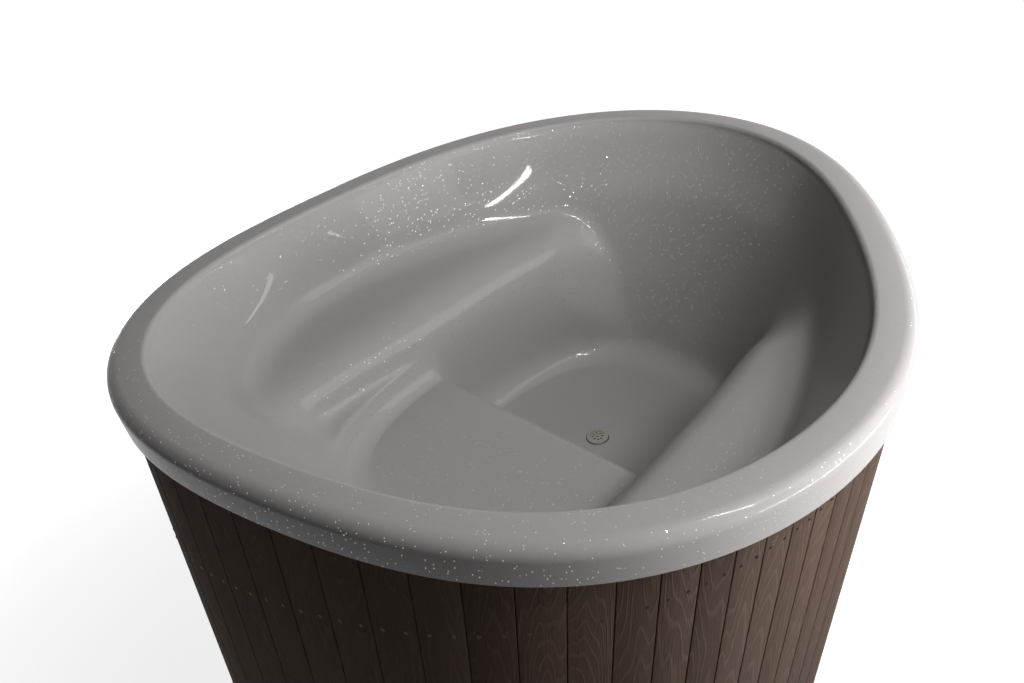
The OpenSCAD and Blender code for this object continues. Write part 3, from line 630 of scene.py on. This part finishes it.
def shell_side(t):
    """Points and faces of the shell's face, or of its back at depth t."""
    columns = []
    for k in range(STATIONS):
        x, y = on_disc(*edge_cell(k))
        columns.append(section(math.degrees(math.atan2(y, x)), t))
    rings = len(columns[0])
    points = [columns[k][r] for r in range(rings) for k in range(STATIONS)]
    last = (rings - 1) * STATIONS
    faces = tube(0, rings, STATIONS)
    index = {edge_cell(k): last + k for k in range(STATIONS)}
    for i in range(1, CELLS):
        for j in range(1, CELLS):
            index[i, j] = len(points)
            points.append(bed_inner(on_disc(i, j), t))
    faces += [(index[i, j], index[i + 1, j], index[i + 1, j + 1], index[i, j + 1])
              for i in range(CELLS) for j in range(CELLS)]
    return points, faces


def make_liner():
    face, face_faces = shell_side(0)
    back, back_faces = shell_side(SHELL_T)
    start = len(face)
    faces = face_faces + [tuple(start + n for n in f) for f in back_faces]
    faces += band(0, start, STATIONS)
    piece = new_piece("liner_skin", face + back, faces, gelcoat, crease=50)
    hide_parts("liner")


make_liner()


# Cladding: four boards to a panel, each planed to its taper, with its outer edges eased. Boards
# are narrowest at the outline's three corners. Each is cut beside its own pith, which lies up to
# PITH_SIDE from its middle line, at a depth in PITH_DEPTH and at its own place along the trunk.
CORNERS = 3
ARRIS = 1.4
ARRIS_STEPS = (0, 30, 60, 90)
PITH_SIDE, PITH_DEPTH, TRUNK_L = 35, (5, 40), 9000
top_line = [wall_point(a, 0, SKIRT_Z) for a in range(361)]
girth_at = np.cumsum([0.0, *np.linalg.norm(np.diff(top_line, axis=0), axis=1)])
dice = np.random.default_rng(11)


def seam(k):
    """The angle of the joint before board k."""
    share = k / BOARD_COUNT
    share -= BOARD_EASE * sin(CORNERS * 360 * (share - BOARD_CORNER)) / (CORNERS * 2 * math.pi)
    whole = math.floor(share)
    return float(np.interp(girth_at[-1] * (share - whole), girth_at, range(361))) + 360 * whole


def board_ring(k, z):
    """A board's section at a height, as (point, across, depth), with its two outer edges eased."""
    a, b = wall_point(seam(k), 0, z), wall_point(seam(k + 1), 0, z)
    c, d = wall_point(seam(k + 1), BOARD_T, z), wall_point(seam(k), BOARD_T, z)
    along, back = unit(b - a), unit(c - d)
    a, b = a + along * BOARD_GAP / 2, b - along * BOARD_GAP / 2
    c, d = c - back * BOARD_GAP / 2, d + back * BOARD_GAP / 2
    inward, middle = unit(d + c - a - b), (a + b) / 2
    ring = [a + ARRIS * ((1 - cos(s)) * along + (1 - sin(s)) * inward) for s in ARRIS_STEPS]
    ring += [b - ARRIS * ((1 - sin(s)) * along - (1 - cos(s)) * inward) for s in ARRIS_STEPS]
    ring += [c, d]
    return [(np.array([*p, z]), (p - middle) @ along, (p - middle) @ inward) for p in ring]


def make_panel(i):
    points, faces, grain, tones = [], [], [], []
    for k in range((i - 1) * BOARD_COUNT // PANEL_COUNT, i * BOARD_COUNT // PANEL_COUNT):
        pith = (dice.uniform(-PITH_SIDE, PITH_SIDE), dice.uniform(*PITH_DEPTH),
                dice.uniform(0, TRUNK_L))
        tone = dice.uniform()
        rings = [board_ring(k, z) for z in (BOARD_Z, BOARD_Z + ARRIS, BOARD_TOP)]
        faces += bar(len(points), len(rings), len(rings[0]))
        for ring in rings:
            for p, across, depth in ring:
                points.append(p)
                grain += [(across + pith[0]) * MM, (depth + pith[1]) * MM, (p[2] + pith[2]) * MM]
                tones.append(tone)
    piece = new_piece(f"cladding_panel_{i}", points, faces, boards)
    places = piece.data.attributes.new("grain_place", "FLOAT_VECTOR", "POINT")
    places.data.foreach_set("vector", grain)
    shades = piece.data.attributes.new("board_tone", "FLOAT", "POINT")
    shades.data.foreach_set("value", tones)
    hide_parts(f"cladding_{i}")


for number in range(1, PANEL_COUNT + 1):
    make_panel(number)


# Screws: two to a board, a quarter of its width from each side, along a sloping line where the
# upper rail is and in a level row at the lower rail. Each has a domed head with a cross in it.
# The heads' dark tone is partly their bronzed coating and partly painted shade, standing in for the
# shadow of sunk holes that the boards don't have
SCREW_R, SCREW_SUNK, SCREW_EDGE_H, SCREW_H = 3.5, 0.2, 0.33, 1.1
SHOULDER_R, SHOULDER_H = 2.8, 0.935
CROSS_REACH, CROSS_HALF_W, CROSS_FLOOR, CROSS_DRAFT = 1.9, 0.55, 0.3, 0.8
SCREW_SHARES = (0.25, 0.75)
SCREW_Z, SCREW_RISE, SCREW_FALL, LOW_SCREW_Z = 718.25, 0.0837, 0.1945, 84.0
CROSS_ARM = [(CROSS_REACH, -CROSS_HALF_W), (CROSS_REACH, CROSS_HALF_W),
             (CROSS_HALF_W, CROSS_HALF_W)]
CROSS = np.array([(x * cos(turn) - y * sin(turn), x * sin(turn) + y * cos(turn))
                  for turn in (0, 90, 180, 270) for x, y in CROSS_ARM])


def on_board(k, share, z):
    """A point on a board's face."""
    a, b = wall_point(seam(k), 0, z), wall_point(seam(k + 1), 0, z)
    return np.array([*mix(a, b, share), z])


def make_screws(name, row_z):
    """A row of screws round the tub, whose height at a point row_z gives."""
    points, faces = [], []
    edge = CROSS / np.linalg.norm(CROSS, axis=1)[:, None]
    rings = [(edge * SCREW_R, -SCREW_SUNK), (edge * SCREW_R, SCREW_EDGE_H),
             (edge * SHOULDER_R, SHOULDER_H), (CROSS, SCREW_H), (CROSS * CROSS_DRAFT, CROSS_FLOOR)]
    for k in range(BOARD_COUNT):
        for share in SCREW_SHARES:
            place = on_board(k, share, row_z(on_board(k, share, SCREW_Z)))
            along = unit(on_board(k, 1, place[2]) - place)
            up = unit(on_board(k, share, place[2] + 1) - place)
            out = np.cross(along, up)
            spin = dice.uniform(0, 90)
            wide, tall = cos(spin) * along + sin(spin) * up, cos(spin) * up - sin(spin) * along
            faces += bar(len(points), len(rings), len(CROSS))
            points += [place + x * wide + y * tall + h * out for ring, h in rings for x, y in ring]
    new_piece(name, points, faces, bronzed_and_painted_shade)


make_screws("board_screws_upper", lambda p: SCREW_Z + SCREW_RISE * p[0] - SCREW_FALL * p[1])
make_screws("board_screws_lower", lambda p: LOW_SCREW_Z)


# Hose tail: nipple, six-sided collar with its corners turned off, and a spigot with a hose thread
TAIL_STEPS = 48
TAIL_BORE_R, NIPPLE_R, NIPPLE_L, NIPPLE_EASE = 10.0, 16.0, 14.3, 0.8
COLLAR_R, COLLAR_H, COLLAR_TURN_R, COLLAR_EASE = 20.0, 9.0, 18.6, 1.0
COLLAR_FLAT_R = COLLAR_R * cos(30)
HOSE_R, HOSE_L, HOSE_PITCH, HOSE_THREAD = 13.2, 18.0, 1.814, 1.16
HOSE_PLAIN, HOSE_EASE, THREAD_STEP = 1.0, 0.6, 0.3
VALVE_OFF, VALVE_L, THREAD_L, SEAT_GAP = 4.0, 60.0, 14.0, 0.3
BALL_X = wall_point(0, 0, PIPE_Z)[0] + VALVE_OFF + VALVE_L / 2


def collar_r(s):
    return COLLAR_FLAT_R / cos(s % 60 - 30)


def turned_r(s):
    return min(collar_r(s), COLLAR_TURN_R)


def thread_r(s, x):
    return HOSE_R - HOSE_THREAD * (0.5 - 0.5 * cos(360 * (x / HOSE_PITCH) - s))


def make_hose_tail():
    turns = np.linspace(0, 360, TAIL_STEPS, endpoint=False)
    spigot = NIPPLE_L + COLLAR_H
    end = spigot + HOSE_L
    root = HOSE_R - HOSE_THREAD
    six, turned = [collar_r(s) for s in turns], [turned_r(s) for s in turns]
    rings = [(0, TAIL_BORE_R), (0, NIPPLE_R - NIPPLE_EASE), (NIPPLE_EASE, NIPPLE_R),
             (NIPPLE_L, NIPPLE_R), (NIPPLE_L, COLLAR_FLAT_R), (NIPPLE_L + COLLAR_EASE, turned),
             (NIPPLE_L + 2 * COLLAR_EASE, six), (spigot - 2 * COLLAR_EASE, six),
             (spigot - COLLAR_EASE, turned), (spigot, COLLAR_FLAT_R), (spigot, root)]
    for x in np.arange(spigot + HOSE_PLAIN, end - HOSE_PLAIN, THREAD_STEP):
        rings.append((x, [thread_r(s, x) for s in turns]))
    rings += [(end - HOSE_EASE, root), (end, root - HOSE_THREAD), (end, TAIL_BORE_R)]
    start = BALL_X + VALVE_L / 2 - THREAD_L + SEAT_GAP
    points = [(start + x, r * sin(s), PIPE_Z - r * cos(s))
              for x, reach in rings for s, r in zip(turns, np.broadcast_to(reach, TAIL_STEPS))]
    last = (len(rings) - 1) * TAIL_STEPS
    faces = tube(0, len(rings), TAIL_STEPS) + band(last, 0, TAIL_STEPS)
    piece = new_piece("hose_tail_threaded", points, faces, brass, crease=28)
    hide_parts("hose_tail")


make_hose_tail()


# Grip: a dipped vinyl sleeve over the lever's end, with shallow ribs for the fingers
GRIP_START, GRIP_END, GRIP_HALF_W, GRIP_HALF_T = 34.0, 98.5, 11.2, 3.6
GRIP_STATIONS, GRIP_STEPS, GRIP_SQUARE = 65, 40, 4
RIB_PITCH, RIB_DEPTH = 7.0, 0.6
LEVER_Z, LEVER_T = 41.6, 3.0

# The grip's rounded end as a share of its length, and what is left of its width and thickness
# there; the heel's width as a share of the full one, and how fast the heel and the ribs grow
TIP_ROUND, TIP_LEAST, TIP_LEAST_T = 0.14, 0.05, 0.4
HEEL_W, HEEL_GROWTH, RIB_GROWTH = 0.82, 6, 12


def make_grip():
    points = []
    z = PIPE_Z + LEVER_Z + LEVER_T / 2
    for share in np.linspace(0, 1, GRIP_STATIONS):
        y = mix(GRIP_START, GRIP_END, share)
        past = max((share - 1 + TIP_ROUND) / TIP_ROUND, 0)
        tip = math.sqrt(max(1 - past ** 2, TIP_LEAST ** 2))
        heel = min(1, HEEL_W + share * HEEL_GROWTH)
        wave = 0.5 - 0.5 * cos(360 * (y - GRIP_START) / RIB_PITCH)
        rib = RIB_DEPTH * wave * min(1, share * RIB_GROWTH)
        wide = (GRIP_HALF_W - rib) * tip * heel
        thick = (GRIP_HALF_T - rib / 2) * max(tip, TIP_LEAST_T) * heel
        for turn in np.linspace(0, 360, GRIP_STEPS, endpoint=False):
            c, v = cos(turn), sin(turn)
            swell = (abs(c) ** GRIP_SQUARE + abs(v) ** GRIP_SQUARE) ** (-1 / GRIP_SQUARE)
            points.append((BALL_X + wide * swell * c, y, z + thick * swell * v))
    faces = bar(0, GRIP_STATIONS, GRIP_STEPS)
    new_piece("lever_grip", points, faces, vinyl, "valve_lever")


make_grip()


# Floor and light: the floor and the world glow white to the camera and in reflections, and give
# next to no light to the tub. Near the tub the floor glows less, so that a shadow shows there.
GROUND_HALF_W, GLOW_NEAR, GLOW_FAR = 7000.0, 1000.0, 2400.0
GLOW_LEAST = 0.8
WORLD_FILL = 0.02


def in_sight(tree):
    """1 for a ray from the camera, off a gloss or through a clear piece, or else 0."""
    ray = add(tree, "LightPath")
    direct = add(tree, "Math", {0: ray.outputs["Is Camera Ray"], 1: ray.outputs["Is Glossy Ray"]},
                 operation="MAXIMUM")
    return add(tree, "Math", {0: direct.outputs[0], 1: ray.outputs["Is Transmission Ray"]},
               operation="MAXIMUM").outputs[0]


def make_floor():
    made, tree, shader = new_material("floor_pale_plain")
    place = add(tree, "TexCoord").outputs["Object"]
    reach = add(tree, "VectorMath", {0: place}, operation="LENGTH")
    level = add(tree, "MapRange", {"Value": reach.outputs["Value"], "From Min": GLOW_NEAR * MM,
                                   "From Max": GLOW_FAR * MM, "To Min": GLOW_LEAST, "To Max": 1.0},
                interpolation_type="SMOOTHSTEP")
    glow = add(tree, "Math", {0: in_sight(tree), 1: level.outputs["Result"]}, operation="MULTIPLY")
    feed(tree, shader, {"Base Color": colour("b4b4b4"), "Roughness": 0.9,
                        "Specular IOR Level": 0.0,
                        "Emission Color": colour("ffffff"), "Emission Strength": glow.outputs[0]})
    mesh = bpy.data.meshes.new("floor")
    work = bmesh.new()
    bmesh.ops.create_grid(work, x_segments=8, y_segments=8, size=GROUND_HALF_W * MM)
    work.to_mesh(mesh)
    work.free()
    mesh.materials.append(made)
    floor = bpy.data.objects.new("floor", mesh)
    bpy.context.collection.objects.link(floor)


def make_world():
    world = bpy.data.worlds.new("studio")
    bpy.context.scene.world = world
    world.use_nodes = True
    tree = world.node_tree
    level = add(tree, "MapRange", {"Value": in_sight(tree), "To Min": WORLD_FILL, "To Max": 1.0})
    feed(tree, tree.nodes["Background"], {"Color": colour("ffffff"),
                                          "Strength": level.outputs["Result"]})


def make_lamp(name, place, aim, size, power):
    """A soft rectangular lamp: its place and aim in metres, its size and its power in watts."""
    data = bpy.data.lights.new(name, "AREA")
    data.shape = "RECTANGLE"
    data.size, data.size_y = size
    data.energy = power
    lamp = bpy.data.objects.new(name, data)
    lamp.location = place
    lamp.rotation_euler = (Vector(aim) - Vector(place)).to_track_quat("-Z", "Y").to_euler()
    bpy.context.collection.objects.link(lamp)


make_floor()
make_world()

# The tall strip makes the upright highlight on the far wall, the key gives the tub its light, the
# other two strips draw the rim's edge and the wall, and the low lamp behind lights the tub's back
make_lamp("tall_strip", (0.1, -1.65, 2.95), (0.3, 0.3, 0.85), (0.08, 1.15), 39)
make_lamp("key", (1.21, -2.1, 2.25), (0, 0, 0.85), (1.8, 1.6), 41)
make_lamp("right_strip", (2.1, -1.1, 1.15), (0, 0, 0.85), (1.4, 0.06), 5)
make_lamp("low_strip", (0.25, -1.6, 0.98), (0, 0, 0.85), (1.2, 0.12), 17)
make_lamp("back", (0.3, 2.6, 0.5), (0.1, 0.4, 0.5), (1.6, 0.7), 28)

bpy.context.scene.view_settings.view_transform = "Standard"
